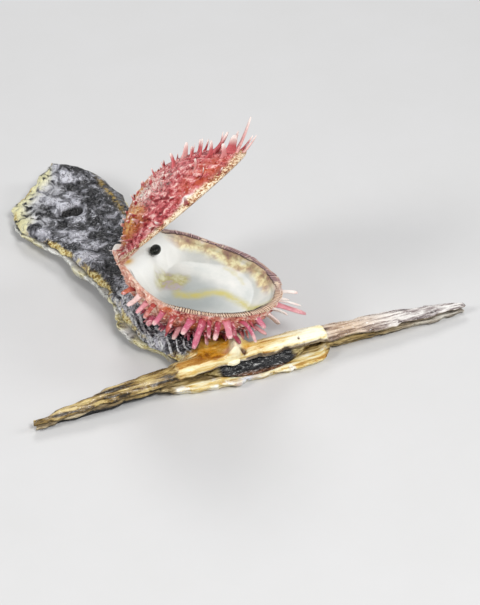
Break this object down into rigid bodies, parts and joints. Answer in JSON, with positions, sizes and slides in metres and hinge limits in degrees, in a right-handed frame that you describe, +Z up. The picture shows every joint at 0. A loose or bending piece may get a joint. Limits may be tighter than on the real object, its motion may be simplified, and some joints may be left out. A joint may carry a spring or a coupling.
{
  "type": "spiny oyster shell",
  "caption": "Spiny oyster shell standing open, its deep lower valve cemented to a T-shaped hammer oyster shell that lies flat. It is one rigid piece with the spiny valves held apart.",
  "frame": {"origin": "on the surface that the shells lie on, below the middle of the whole", "axes": "+Z up, X along the hammer oyster's straight hinge bar, +Y from the bar along the hammer oyster's body"},
  "size_m": [0.201, 0.1753, 0.0963],
  "materials": {
    "hammer_lower_shell": "weathered cream, ochre and brown shell, rough",
    "hammer_upper_shell": "charcoal shell mottled grey and white, rough",
    "hinge_ligament": "black, horny, slightly glossy",
    "spiny_lower_shell": "porcelain white inside, salmon pink outside",
    "spiny_upper_shell": "rose to orange-red, finely ribbed, chalky",
    "inner_ligament": "black, glossy"
  },
  "bodies": {
    "root": {"hammer_oyster_lower_valve": "hammer_lower_shell", "hammer_oyster_upper_valve": "hammer_upper_shell", "hammer_oyster_ligament": "hinge_ligament", "spiny_oyster_lower_valve": "spiny_lower_shell", "spiny_oyster_upper_valve": "spiny_upper_shell", "spiny_oyster_ligament": "inner_ligament"}
  },
  "joints": []
}
